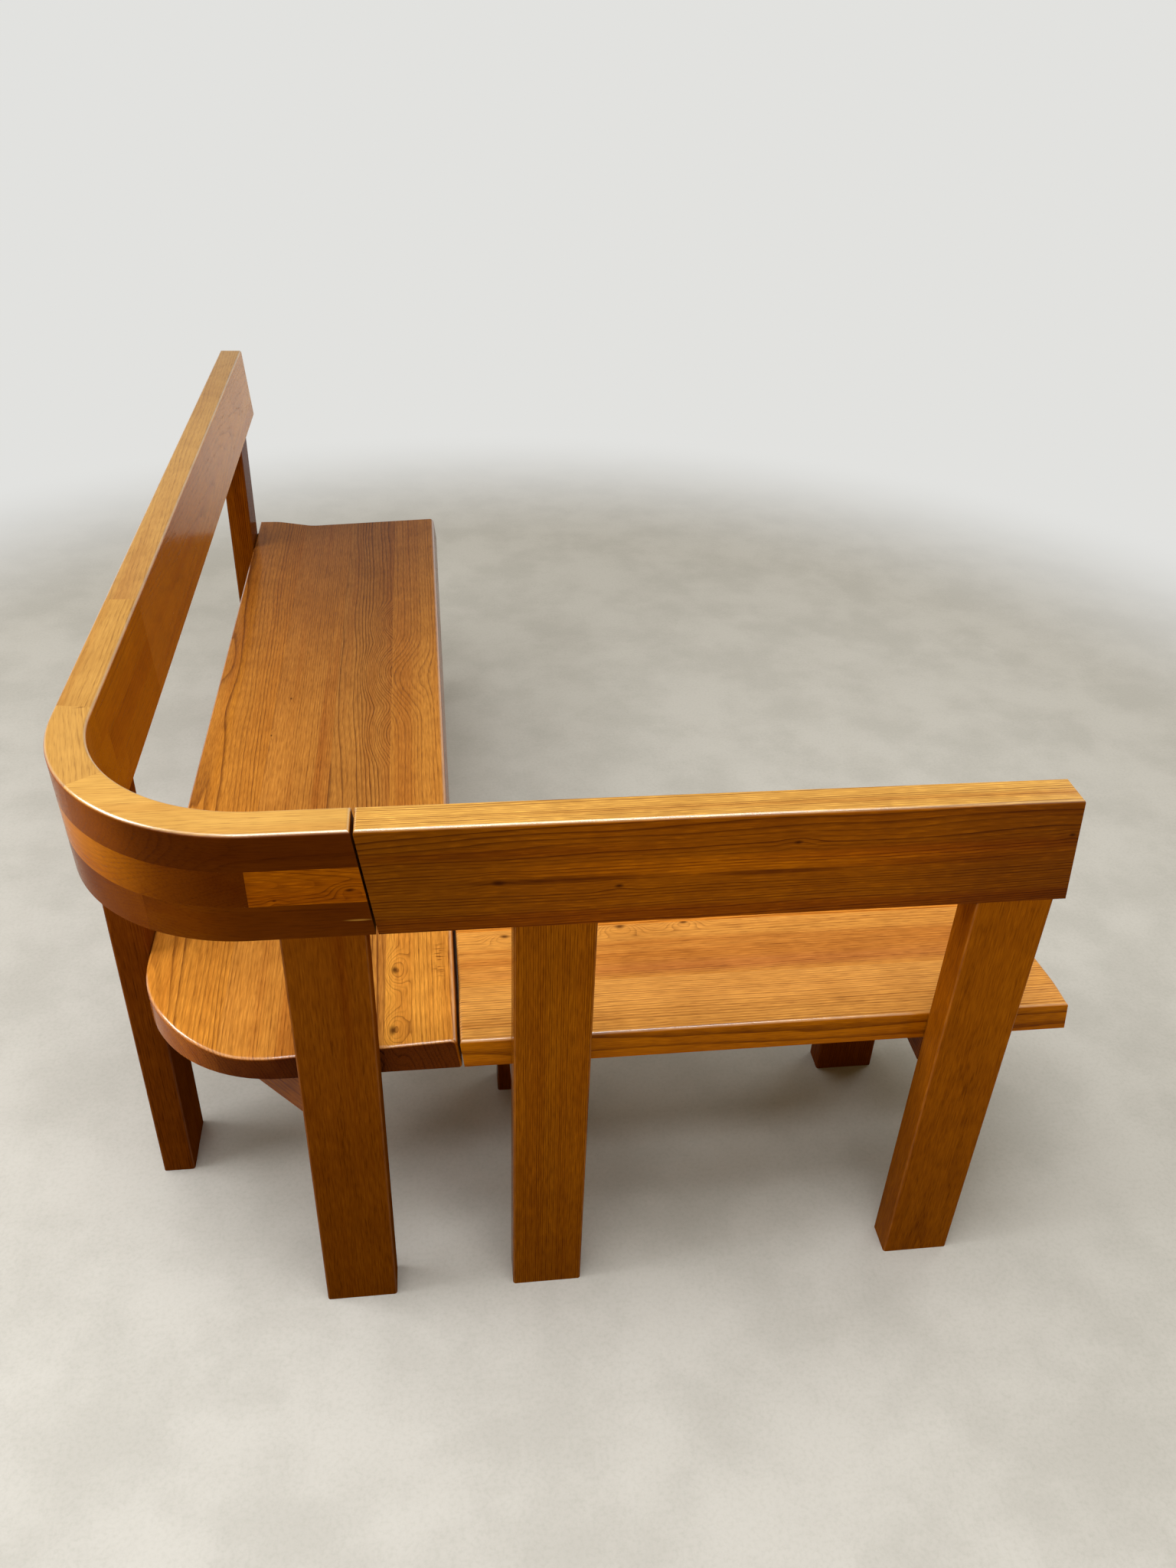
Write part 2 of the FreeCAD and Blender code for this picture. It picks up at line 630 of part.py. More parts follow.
def long_back_board(dowel_starts):
    body = new_body("long_back_board_blank")
    section = new_sketch(body, "long_back_section", "XZ_Plane", f"-{STACK_JOINT}")
    outline(section, back_section())
    feature(body, "Pad", "long_back_length", section, f"{LONG_BACK_END} + {BACK_SLANT} - {STACK_JOINT}", True)
    far_end = new_sketch(body, "long_back_far_end", "YZ_Plane", f"0 - {BACK_SHIFT} - 1")
    outline(far_end, slope_waste(LONG_BACK_END))
    feature(body, "Pocket", "long_back_slope", far_end, f"back_thickness + {BACK_SHIFT} + 2", True)
    joint = value(f"{STACK_JOINT} + {ORIGIN_Y}")
    rim = top_outline(body.Shape, lambda at: at.y > joint + 1)
    fillet(body, "long_back_edges", rim, "back_edge_round")
    tools = [leg_mortise("far_leg_mortise", FAR_LEG, True)]
    tools += dowel_bores("long_back_bore", dowel_starts)
    node(cut("long_back_board_cut", body, tools), "long_back_board")


def bend_outline(radius, shift):
    """Plan of the back's bend at one level, with a short stretch of both arms."""
    outer = f"(0 - {shift})"
    inner = f"(back_thickness - {shift})"
    centre = f"({radius} - {shift})"
    return (
        (outer, BEND_REACH),
        (outer, centre, centre),
        (centre, outer),
        (BEND_REACH, outer),
        (BEND_REACH, inner),
        (centre, inner, centre),
        (inner, centre),
        (inner, BEND_REACH),
    )


def corner_stack_blank():
    """The turned back as one blank: two straight arms and the bend between them."""
    body = new_body("corner_stack_blank")
    rear_arm = new_sketch(body, "rear_arm_section", "XZ_Plane", f"-{BEND_REACH}")
    outline(rear_arm, back_section())
    feature(body, "Pad", "rear_arm", rear_arm, f"{STACK_JOINT} - {BEND_REACH}", True)
    under = new_sketch(body, "bend_underside", "XY_Plane", "back_bottom")
    outline(under, bend_outline("corner_radius", "0"))
    top = new_sketch(body, "bend_top", "XY_Plane", BACK_TOP)
    outline(top, bend_outline("corner_top_radius", BACK_SHIFT))
    bend = body.newObject("PartDesign::AdditiveLoft", "bend")
    bend.Profile = under
    bend.Sections = [top]
    bend.Ruled = True
    doc.recompute()
    end_arm = new_sketch(body, "end_arm_section", "YZ_Plane", BEND_REACH)
    outline(end_arm, back_section())
    feature(body, "Pad", "end_arm", end_arm, f"{TURNED_BACK_END} + {BACK_SLANT} - {BEND_REACH}")
    near_end = new_sketch(body, "turned_back_near_end", "XZ_Plane", "0 - back_thickness - 1")
    outline(near_end, slope_waste(TURNED_BACK_END))
    feature(body, "Pocket", "turned_back_slope", near_end, f"back_thickness + {BACK_SHIFT} + 2", True)
    joint = value(f"{STACK_JOINT} + {ORIGIN_Y}")
    rim = top_outline(body.Shape, lambda at: at.y < joint - 1)
    fillet(body, "corner_stack_edges", rim, "back_edge_round")
    return body


def sector(name, level, start, end):
    """A slice of one course, between two angles round the bend's axis."""
    wedge = doc.addObject("Part::Cylinder", name)
    bind(wedge, "Radius", f"{STACK_JOINT} + corner_radius")
    bind(wedge, "Height", "course_height")
    bind(wedge, "Angle", f"({end}) - ({start})")
    turned = FreeCAD.Rotation(Z_AXIS, 180)
    place(wedge, "corner_radius", "corner_radius", f"back_bottom + {level} * course_height", turned)
    bind(wedge, "Placement.Rotation.Angle", f"180 + ({start})")
    return wedge


def corner_stack(dowel_starts):
    """Three courses, each of a straight piece, an arc and an end piece, with staggered joints."""
    blank = corner_stack_blank()
    mortises = [
        leg_mortise("corner_leg_mortise", CORNER_LEG, True),
        leg_mortise("end_leg_mortise", END_LEG, False),
    ]
    for level, course in enumerate(COURSES):
        first = f"{course}_first_joint"
        second = f"{course}_second_joint"
        pieces = (("straight", SWEEP_START, first), ("arc", first, second), ("end", second, SWEEP_END))
        for piece, start, end in pieces:
            name = f"corner_{course}_{piece}"
            holes = list(mortises) if course == "bottom" else []
            if piece == "straight":
                holes += dowel_bores(f"{name}_bore", dowel_starts[level:level + 1])
            whole = common(f"{name}_whole", blank, sector(f"{name}_sector", level, start, end))
            node(cut(f"{name}_cut", whole, holes) if holes else whole, name)


def short_back_board():
    body = new_body("short_back_board_blank")
    section = new_sketch(body, "short_back_section", "YZ_Plane", SHORT_BACK_START)
    outline(section, back_section())
    length = f"{SHORT_BACK_END} + {BACK_SLANT} - {SHORT_BACK_START}"
    feature(body, "Pad", "short_back_length", section, length)
    ends = new_sketch(body, "short_back_ends", "XZ_Plane", "0 - back_thickness - 1")
    outline(ends, (
        (SHORT_BACK_START, BACK_TOP),
        (f"({SHORT_BACK_START} - 1)", BACK_TOP),
        (f"({SHORT_BACK_START} - 1)", "back_bottom"),
        (f"({SHORT_BACK_START} + {BACK_SLANT})", "back_bottom"),
    ))
    outline(ends, slope_waste(SHORT_BACK_END))
    feature(body, "Pocket", "short_back_slopes", ends, f"back_thickness + {BACK_SHIFT} + 2", True)
    fillet(body, "short_back_edges", top_outline(body.Shape), "back_edge_round")
    mortises = [
        leg_mortise("near_leg_mortise", NEAR_LEG, False),
        leg_mortise("outer_leg_mortise", OUTER_LEG, False),
    ]
    node(cut("short_back_board_cut", body, mortises), "short_back_board")


# modules

def diagonal_bearer(dowel_starts, places):
    """A rail on edge across the rounded corner, sawn to butt against the two corner legs."""
    body = new_body("diagonal_bearer_blank")
    half = "(diagonal_bearer_width / sqrt(2))"
    inner = f"({DIAGONAL_REACH} - {half} - leg_thickness)"
    outer = f"({DIAGONAL_REACH} + {half} - leg_thickness)"
    underside = new_sketch(body, "diagonal_bearer_underside", "XY_Plane", DIAGONAL_UNDER)
    outline(underside, (
        ("leg_thickness", inner),
        (inner, "leg_thickness"),
        (outer, "leg_thickness"),
        ("leg_thickness", outer),
    ))
    feature(body, "Pad", "diagonal_bearer_rail", underside, "diagonal_bearer_depth")
    tools = dowel_bores("diagonal_bearer_bore", dowel_starts)
    tools += screw_bores("diagonal_bearer_screw_bore", places, DIAGONAL_UNDER)
    node(cut("diagonal_bearer_cut", body, tools), "diagonal_bearer")


def long_module():
    stack_dowels = []
    for level in range(len(COURSES)):
        height = f"(({level} + 0.5) * course_height)"
        middle = f"(back_thickness / 2 - {height} * tan(back_lean))"
        stack_dowels.append((middle, f"{STACK_JOINT} - dowel_length / 2", f"back_bottom + {height}", ALONG_Y))
    corner_seat = dowel_places(CORNER_LEG, True, SEAT_MIDDLE)
    corner_rail = stacked_dowel_places(True)
    end_seat = dowel_places(END_LEG, False, SEAT_MIDDLE)
    end_rail = stacked_dowel_places(False)
    corner_bores = dowel_bores("corner_leg_bore", corner_seat + corner_rail)
    end_bores = dowel_bores("end_leg_bore", end_seat + end_rail)
    back_leg("corner_leg", CORNER_LEG, True, corner_bores)
    back_leg("end_leg", END_LEG, False, end_bores)
    far_seat, far_screws = trestle("long_far", FAR_LEG, True)

    near = f"({DIAGONAL_REACH} / 2 - diagonal_screw_spread / 2)"
    away = f"({DIAGONAL_REACH} / 2 + diagonal_screw_spread / 2)"
    corner_screws = [(near, away), (away, near)]
    diagonal_bearer(corner_rail + end_rail, corner_screws)
    long_back_board(stack_dowels)
    corner_stack(stack_dowels)

    seat_dowels = corner_seat + end_seat + far_seat
    all_screws = corner_screws + far_screws
    tools = dowel_bores("long_seat_bore", seat_dowels) + screw_bores("long_seat_screw_bore", all_screws)
    seat_boards("long", long_seat_blank(), True, tools)
    node(group("long_leg_dowels_group", dowels("long_leg_dowel", seat_dowels)), "long_leg_dowels")
    rail_dowels = dowels("bearer_dowel", corner_rail + end_rail)
    node(group("bearer_dowels_group", rail_dowels), "diagonal_bearer_dowels")
    node(group("stack_dowels_group", dowels("stack_dowel", stack_dowels)), "long_back_dowels")
    node(group("long_screws_group", screws("long_screw", all_screws)), "long_seat_screws")


def short_module():
    near_dowels, near_screws = trestle("short_near", NEAR_LEG, False)
    outer_dowels, outer_screws = trestle("short_outer", OUTER_LEG, False)
    short_back_board()
    seat_dowels = near_dowels + outer_dowels
    all_screws = near_screws + outer_screws
    tools = dowel_bores("short_seat_bore", seat_dowels) + screw_bores("short_seat_screw_bore", all_screws)
    seat_boards("short", short_seat_blank(), False, tools)
    node(group("short_leg_dowels_group", dowels("short_leg_dowel", seat_dowels)), "short_leg_dowels")
    node(group("short_screws_group", screws("short_screw", all_screws)), "short_seat_screws")


def write_pieces():
    """Checks every object, then writes each piece to its own file."""
    doc.recompute()
    for thing in doc.Objects:
        if "Invalid" in thing.State or "Error" in thing.State:
            raise RuntimeError(f"{thing.Name} failed: {thing.State}")
    for piece in nodes:
        if piece.Shape.isNull() or not piece.Shape.isValid() or not piece.Shape.Solids:
            raise RuntimeError(f"{piece.Label} has no valid solid")
    os.makedirs("parts", exist_ok=True)
    for piece in nodes:
        piece.Shape.exportStep(f"parts/{piece.Label}.step")
        print(f"{piece.Label}: {len(piece.Shape.Solids)} solid(s), {piece.Shape.Volume / 1000:.0f} cm3")


fill_sheet()
long_module()
short_module()
write_pieces()
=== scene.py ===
import json
import math
from dataclasses import dataclass, replace
from typing import NamedTuple

import bpy
from mathutils import Euler, Matrix, Vector

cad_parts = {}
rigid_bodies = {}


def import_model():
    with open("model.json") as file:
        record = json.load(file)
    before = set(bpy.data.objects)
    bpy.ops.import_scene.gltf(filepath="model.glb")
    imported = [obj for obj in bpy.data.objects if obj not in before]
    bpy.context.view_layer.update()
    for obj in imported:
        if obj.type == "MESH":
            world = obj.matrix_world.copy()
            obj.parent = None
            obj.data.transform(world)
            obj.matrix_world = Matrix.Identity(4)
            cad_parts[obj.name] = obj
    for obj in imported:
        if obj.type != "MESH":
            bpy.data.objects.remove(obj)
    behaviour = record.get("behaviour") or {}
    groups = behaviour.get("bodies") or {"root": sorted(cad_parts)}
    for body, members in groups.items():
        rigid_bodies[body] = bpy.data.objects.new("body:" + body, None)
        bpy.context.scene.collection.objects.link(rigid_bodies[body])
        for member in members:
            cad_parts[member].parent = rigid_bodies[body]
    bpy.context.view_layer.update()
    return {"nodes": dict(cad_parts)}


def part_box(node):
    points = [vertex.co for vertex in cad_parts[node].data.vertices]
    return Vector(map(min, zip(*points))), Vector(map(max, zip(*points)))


# Corner bench of varnished elm: a long and a short module on a plain pale floor.
# Lengths are metres and colours are linear. A tint is a colour that another is multiplied by.

for leftover in list(bpy.data.objects):
    bpy.data.objects.remove(leftover)
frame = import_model()
nodes = frame["nodes"]


# shader nodes

class Texture(NamedTuple):
    """Noise, with its scales per metre, on wood along, across and through the board."""
    scale: tuple
    detail: float = 2.0
    roughness: float = 0.5


def opaque(colour):
    return colour + (1,)


def node(tree, kind, inputs=None, **settings):
    """Adds a node with its settings and its inputs: a number, a colour or another node's output."""
    made = tree.nodes.new(kind)
    for name, setting in settings.items():
        setattr(made, name, setting)
    for key, source in (inputs or {}).items():
        if isinstance(source, bpy.types.NodeSocket):
            tree.links.new(source, made.inputs[key])
        else:
            made.inputs[key].default_value = source
    return made


def calc(tree, operation, *values):
    return node(tree, "ShaderNodeMath", dict(enumerate(values)), operation=operation).outputs[0]


def vector(tree, operation, *values):
    made = node(tree, "ShaderNodeVectorMath", dict(enumerate(values)), operation=operation)
    return made.outputs["Vector"]


def measure(tree, operation, *values):
    """A number worked out from vectors: a length or a dot product."""
    made = node(tree, "ShaderNodeVectorMath", dict(enumerate(values)), operation=operation)
    return made.outputs["Value"]


def split(tree, value):
    """The x, y and z of a vector."""
    return node(tree, "ShaderNodeSeparateXYZ", {0: value}).outputs


def object_place(tree):
    return node(tree, "ShaderNodeTexCoord").outputs["Object"]


def blend(tree, factor, first, second, way="MIX"):
    """Mixes two colours, each a (red, green, blue) or a node's output."""
    first, second = (opaque(one) if isinstance(one, tuple) else one for one in (first, second))
    inputs = {0: factor, 6: first, 7: second}
    return node(tree, "ShaderNodeMix", inputs, data_type="RGBA", blend_type=way).outputs[2]


def tint(tree, factor, colour, by):
    """Multiplies a colour by another, in part."""
    return blend(tree, factor, colour, by, "MULTIPLY")


def span(tree, value, low, high, to_low=0.0, to_high=1.0):
    """A smooth step from one number to another."""
    inputs = {0: value, 1: low, 2: high, 3: to_low, 4: to_high}
    return node(tree, "ShaderNodeMapRange", inputs, interpolation_type="SMOOTHSTEP").outputs[0]


def noise(tree, where, texture):
    """The outputs of a noise: Fac is a level about 0.5, and Color is three of them."""
    scaled = vector(tree, "MULTIPLY", where, texture.scale)
    inputs = {"Vector": scaled, "Scale": 1.0, "Detail": texture.detail, "Roughness": texture.roughness}
    return node(tree, "ShaderNodeTexNoise", inputs).outputs


def ramp(tree, value, stops):
    """A number that follows stops of (place, level)."""
    made = node(tree, "ShaderNodeValToRGB", {0: value})
    points = made.color_ramp.elements
    while len(points) < len(stops):
        points.new(0.5)
    for point, (place, level) in zip(points, stops):
        point.position = place
        point.color = (level, level, level, 1)
    return made.outputs[0]


def new_material(name):
    """An empty node material and its tree."""
    material = bpy.data.materials.new(name)
    material.use_nodes = True
    material.node_tree.nodes.clear()
    return material, material.node_tree


def put_out(tree, shader):
    """Makes a shader node the surface of its material."""
    node(tree, "ShaderNodeOutputMaterial", {0: shader.outputs[0]})


# wood: what sets one board apart from another

class Patch(NamedTuple):
    """An oval place with its half sizes along and across the grain, and its tint."""
    spot: tuple
    along: float
    across: float
    shade: tuple = None


class Knot(NamedTuple):
    """A knot, and how far it lifts the rings round it."""
    spot: tuple
    size: float
    lift: float


class Swell(NamedTuple):
    """A place where the rings bulge."""
    spot: tuple
    reach: float
    lift: float


# painted light and shade: what faces up is tinted lighter and the sides darker, as light falls from
# above
BACK_TOP = (0.83, 1.30, 5.0)
SEAT_TOP = (1.26, 1.34, 2.4)
SIDE = (0.60, 0.46, 0.15)


@dataclass(frozen=True)
class Figure:
    """A board's yearly rings, marks, and tints of painted light and shade."""
    # rings, with the pith measured across and through the board from its middle
    pith: tuple = (0.03, -0.09)
    spacing: float = 0.0055
    taper: float = 0.012
    wander: float = 0.012
    contrast: float = 1.0
    swells: tuple = ()
    # knots go through the board, or else across it
    knots: tuple = ()
    knots_through: bool = True
    # strengths of the streaks, fibres, pale flecks and dark pores
    streaks: float = 0.6
    fibres: float = 0.8
    flecks: float = 0.3
    pores: float = 0.6
    # painted light and shade: tints of what faces up, of upright faces, and of the corner's outer
    # faces where they differ
    top: tuple = BACK_TOP
    side: tuple = SIDE
    rear: tuple = None
    # tinted patches on all faces, on upright faces inside the corner and on those outside it; some are
    # marks in the wood and some are painted light and shade
    patches: tuple = ()
    front_patches: tuple = ()
    rear_patches: tuple = ()
    # patches of upright faces that are as rough and dark as end grain, which paint the shade in a gap,
    # and patches of short dark dashes
    dull: tuple = ()
    ticks: tuple = ()
    # lean of a face to the fibres at which end grain starts and is full
    end_grain: tuple = (0.35, 0.9)
    # varnish
    gloss: float = 0.035
    edge_polish: float = 1.0
    # whether edges between two upright faces count as rounded
    upright: bool = False


LEG = Figure(spacing=0.0028, taper=0.006, wander=0.004, knots_through=False, streaks=0.4,
             gloss=0.004, edge_polish=0.12, upright=True)
BACK = Figure(spacing=0.0045, contrast=0.5, knots_through=False, fibres=0.35, flecks=0.12, pores=0.4,
              end_grain=(0.9, 0.98))
COURSE = replace(BACK, side=(0.80, 0.73, 0.18), gloss=0.015)
SEAT = Figure(contrast=1.25, fibres=0.6, top=SEAT_TOP, end_grain=(0.75, 0.97))
RAIL = Figure(side=(0.5, 0.38, 0.2))


# wood: the shader

SEED_STEP = 3.7  # sets each board at its own place in the noise
# the pale wood, the ground colour, the dark lines of the yearly rings and the hearts of knots
PALE = (0.54, 0.185, 0.012)
GROUND = (0.44, 0.140, 0.008)
DARK = (0.12, 0.024, 0.002)
HEART = (0.07, 0.014, 0.001)
# rings and knots
DRIFT = Texture((1.7, 9.0, 9.0))
CURL = Texture((22.0, 40.0, 40.0))
RIPPLE = Texture((5.0, 60.0, 60.0))
CURL_REACH = Vector((0.010, 0.004, 0.004))
RIPPLE_RINGS = 0.8
RING_LINE = ((0.0, 0.0), (0.05, 1.0), (0.2, 0.6), (0.42, 0.14), (0.7, 0.0), (1.0, 0.0))
YEAR_STRENGTH = (0.3, 1.0)
LINE_STRENGTH = 0.72
KNOT_THROUGH = (0.5, 1.0, 0.1)
KNOT_ACROSS = (0.5, 0.1, 1.0)
KNOT_REACH = 4.5  # sizes of a knot over which the rings flow round it
HEART_CORE = 0.1  # part of a knot's size at which its heart starts to fade
HEART_STRENGTH = 0.9
# fine figure
FIBRE = Texture((14.0, 450.0, 450.0), 3.0, 0.7)
FLECK = Texture((45.0, 560.0, 560.0), 1.0)
STREAK = Texture((0.5, 26.0, 26.0))
CLOUD = Texture((1.8, 7.0, 7.0), 3.0)
MOTTLE = Texture((16.0, 14.0, 14.0), 3.0)
TICK = Texture((330.0, 70.0, 70.0), 1.0)
RUB = Texture((18.0, 40.0, 40.0), 3.0)
# levels of that noise at which each starts and is full
FIBRE_RANGE = (0.32, 0.68)
FLECK_RANGE = (0.46, 0.34)
PORE_RANGE = (0.53, 0.66)
STREAK_RANGE = (0.48, 0.7)
CLOUD_RANGE = (0.4, 0.7)
MOTTLE_RANGE = (0.4, 0.65)
TICK_RANGE = (0.54, 0.62)
RUB_RANGE = (0.35, 0.65)
# strengths and tints
PORES_IN_LINES, PORES_ALL_OVER = 0.65, 0.35
CLOUD_STRENGTH = 0.6
MOTTLE_STRENGTH = 0.5
RUB_STRENGTH = (0.25, 0.8)
FLECK_TINT = (1.5, 1.6, 1.6)
STREAK_TINT = (0.80, 0.66, 0.58)
CLOUD_TINT = (0.84, 0.77, 0.7)
MOTTLE_TINT = (0.84, 0.80, 0.75)
TICK_TINT = (0.35, 0.25, 0.3)
SAWN_TINT = (0.25, 0.19, 0.35)
# wear and painted highlight on rounded edges
WEAR_AND_HIGHLIGHT_TINT = (1.25, 1.35, 1.6)
# faces
OUTSIDE = (-0.707, -0.707, 0.0)  # the way the outer side of the corner faces
UP_RANGE = (0.25, 0.85)
OUTSIDE_RANGE = (0.0, 0.35)
EDGE_RANGE = (0.99, 0.80)
PATCH_FADE = (0.15, 1.0)
# varnish
CLOUD_ROUGHNESS = (0.12, 0.19)
CLOUD_ROUGHNESS_RANGE = (0.2, 0.8)
PORE_ROUGHNESS = 0.2
SAWN_ROUGHNESS = 0.35
SAWN_POLISH = -1.2
GLOSS_TINT = (1.0, 0.7, 0.2)
COAT_ROUGHNESS = 0.2
COAT_IOR = 2.0
FIBRE_HEIGHT = 0.25
LINE_DEPTH = 0.5
BUMP_STRENGTH = 0.14
BUMP_DISTANCE = 0.0004


class Board:
    """Node tree of one board, with places in metres along, across and through it from its middle."""

    def __init__(self, tree, piece, turn, seed, figure):
        low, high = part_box(piece)
        self.tree = tree
        self.figure = figure
        self.turn = turn.to_matrix()
        self.shift = Vector((seed * SEED_STEP, 0, 0)) - self.turn @ ((low + high) / 2)
        inputs = {"Vector": object_place(tree), "Location": self.shift, "Rotation": turn}
        self.place = node(tree, "ShaderNodeMapping", inputs, vector_type="POINT").outputs[0]
        curl = noise(tree, self.place, CURL)["Color"]
        curl = vector(tree, "MULTIPLY_ADD", curl, CURL_REACH, -CURL_REACH / 2)
        self.curled = vector(tree, "ADD", self.place, curl)
        self.normal = node(tree, "ShaderNodeNewGeometry").outputs["Normal"]
        self.up = span(tree, split(tree, self.normal)[2], *UP_RANGE)
        self.upright = calc(tree, "SUBTRACT", 1.0, self.up)
        lean = measure(tree, "DOT_PRODUCT", self.normal, OUTSIDE)
        self.outside = calc(tree, "MULTIPLY", span(tree, lean, *OUTSIDE_RANGE), self.upright)
        self.inside = calc(tree, "SUBTRACT", self.upright, self.outside)

    def level(self, texture):
        return noise(self.tree, self.place, texture)["Fac"]

    def gap(self, place, spot):
        return vector(self.tree, "SUBTRACT", place, self.turn @ Vector(spot) + self.shift)

    def knot_distance(self, spot):
        """Distance from a knot, which is drawn out along the grain."""
        stretch = KNOT_THROUGH if self.figure.knots_through else KNOT_ACROSS
        scaled = vector(self.tree, "MULTIPLY", self.gap(self.curled, spot), stretch)
        return measure(self.tree, "LENGTH", scaled)

    def patch(self, patch):
        """One inside a patch, fading out towards its rim."""
        shrink = (1 / patch.along, 1 / patch.across, 1 / patch.across)
        scaled = vector(self.tree, "MULTIPLY", self.gap(self.place, patch.spot), shrink)
        return span(self.tree, measure(self.tree, "LENGTH", scaled), *PATCH_FADE, 1.0, 0.0)

    def sawn(self):
        """One where the surface cuts across the fibres, or in a patch of painted shade that is as dark
        and rough as that.
        """
        fibres = self.turn.transposed() @ Vector((1, 0, 0))
        lean = calc(self.tree, "ABSOLUTE", measure(self.tree, "DOT_PRODUCT", self.normal, fibres))
        sawn = span(self.tree, lean, *self.figure.end_grain)
        for patch in self.figure.dull:
            dull = calc(self.tree, "MULTIPLY", self.patch(patch), self.upright)
            sawn = calc(self.tree, "MAXIMUM", sawn, dull)
        return sawn

    def edge(self):
        """One where a rounded edge turns from one side to the next."""
        x, y, z = split(self.tree, vector(self.tree, "ABSOLUTE", self.normal))
        if self.figure.upright:
            side = calc(self.tree, "MAXIMUM", x, y)
        else:
            level = vector(self.tree, "MULTIPLY", self.normal, (1.0, 1.0, 0.0))
            side = measure(self.tree, "LENGTH", level)
        return span(self.tree, calc(self.tree, "MAXIMUM", side, z), *EDGE_RANGE)

    def rings(self):
        """Number of yearly rings between the pith and a place."""
        tree, figure = self.tree, self.figure
        drift = vector(tree, "SUBTRACT", noise(tree, self.place, DRIFT)["Color"], (0.5, 0.5, 0.5))
        drift = vector(tree, "MULTIPLY", drift, (0.0, 2 * figure.wander, 2 * figure.wander))
        drifted = vector(tree, "ADD", self.place, drift)
        from_pith = vector(tree, "SUBTRACT", drifted, (0.0,) + figure.pith)
        radius = measure(tree, "LENGTH", vector(tree, "MULTIPLY", from_pith, (0.0, 1.0, 1.0)))
        radius = calc(tree, "MULTIPLY_ADD", split(tree, from_pith)[0], figure.taper, radius)
        round_knots = [Swell(knot.spot, knot.size * KNOT_REACH, knot.lift) for knot in figure.knots]
        for spot, reach, lift in [*figure.swells, *round_knots]:
            bulge = span(tree, self.knot_distance(spot), 0.0, reach, lift, 0.0)
            radius = calc(tree, "ADD", radius, bulge)
        rings = calc(tree, "DIVIDE", radius, figure.spacing)
        return calc(tree, "MULTIPLY_ADD", self.level(RIPPLE), RIPPLE_RINGS, rings)

    def ring_line(self):
        """One on a ring's dark line, which starts sharply and fades, and is fainter in some years."""
        tree, rings = self.tree, self.rings()
        year = {"W": calc(tree, "FLOOR", rings)}
        chance = node(tree, "ShaderNodeTexWhiteNoise", year, noise_dimensions="1D").outputs["Value"]
        line = ramp(tree, calc(tree, "FRACT", rings), RING_LINE)
        return calc(tree, "MULTIPLY", line, span(tree, chance, 0.0, 1.0, *YEAR_STRENGTH))


def add_marks(board, colour):
    """Adds a board's patches, ticks and knots to its colour."""
    tree, figure = board.tree, board.figure
    for patch in figure.patches:
        colour = tint(tree, board.patch(patch), colour, patch.shade)
    for faces, patches in ((board.inside, figure.front_patches), (board.outside, figure.rear_patches)):
        for patch in patches:
            factor = calc(tree, "MULTIPLY", board.patch(patch), faces)
            colour = tint(tree, factor, colour, patch.shade)
    for patch in figure.ticks:
        dash = span(tree, board.level(TICK), *TICK_RANGE)
        colour = tint(tree, calc(tree, "MULTIPLY", board.patch(patch), dash), colour, TICK_TINT)
    for knot in figure.knots:
        distance = board.knot_distance(knot.spot)
        heart = span(tree, distance, knot.size * HEART_CORE, knot.size, HEART_STRENGTH, 0.0)
        colour = blend(tree, heart, colour, HEART)
    return colour


def painted_face_light(board):
    """Painted light and shade of a face: lighter on top and darker on the sides."""
    figure = board.figure
    shade = blend(board.tree, board.up, figure.side, figure.top)
    if figure.rear:
        shade = blend(board.tree, board.outside, shade, figure.rear)
    return shade


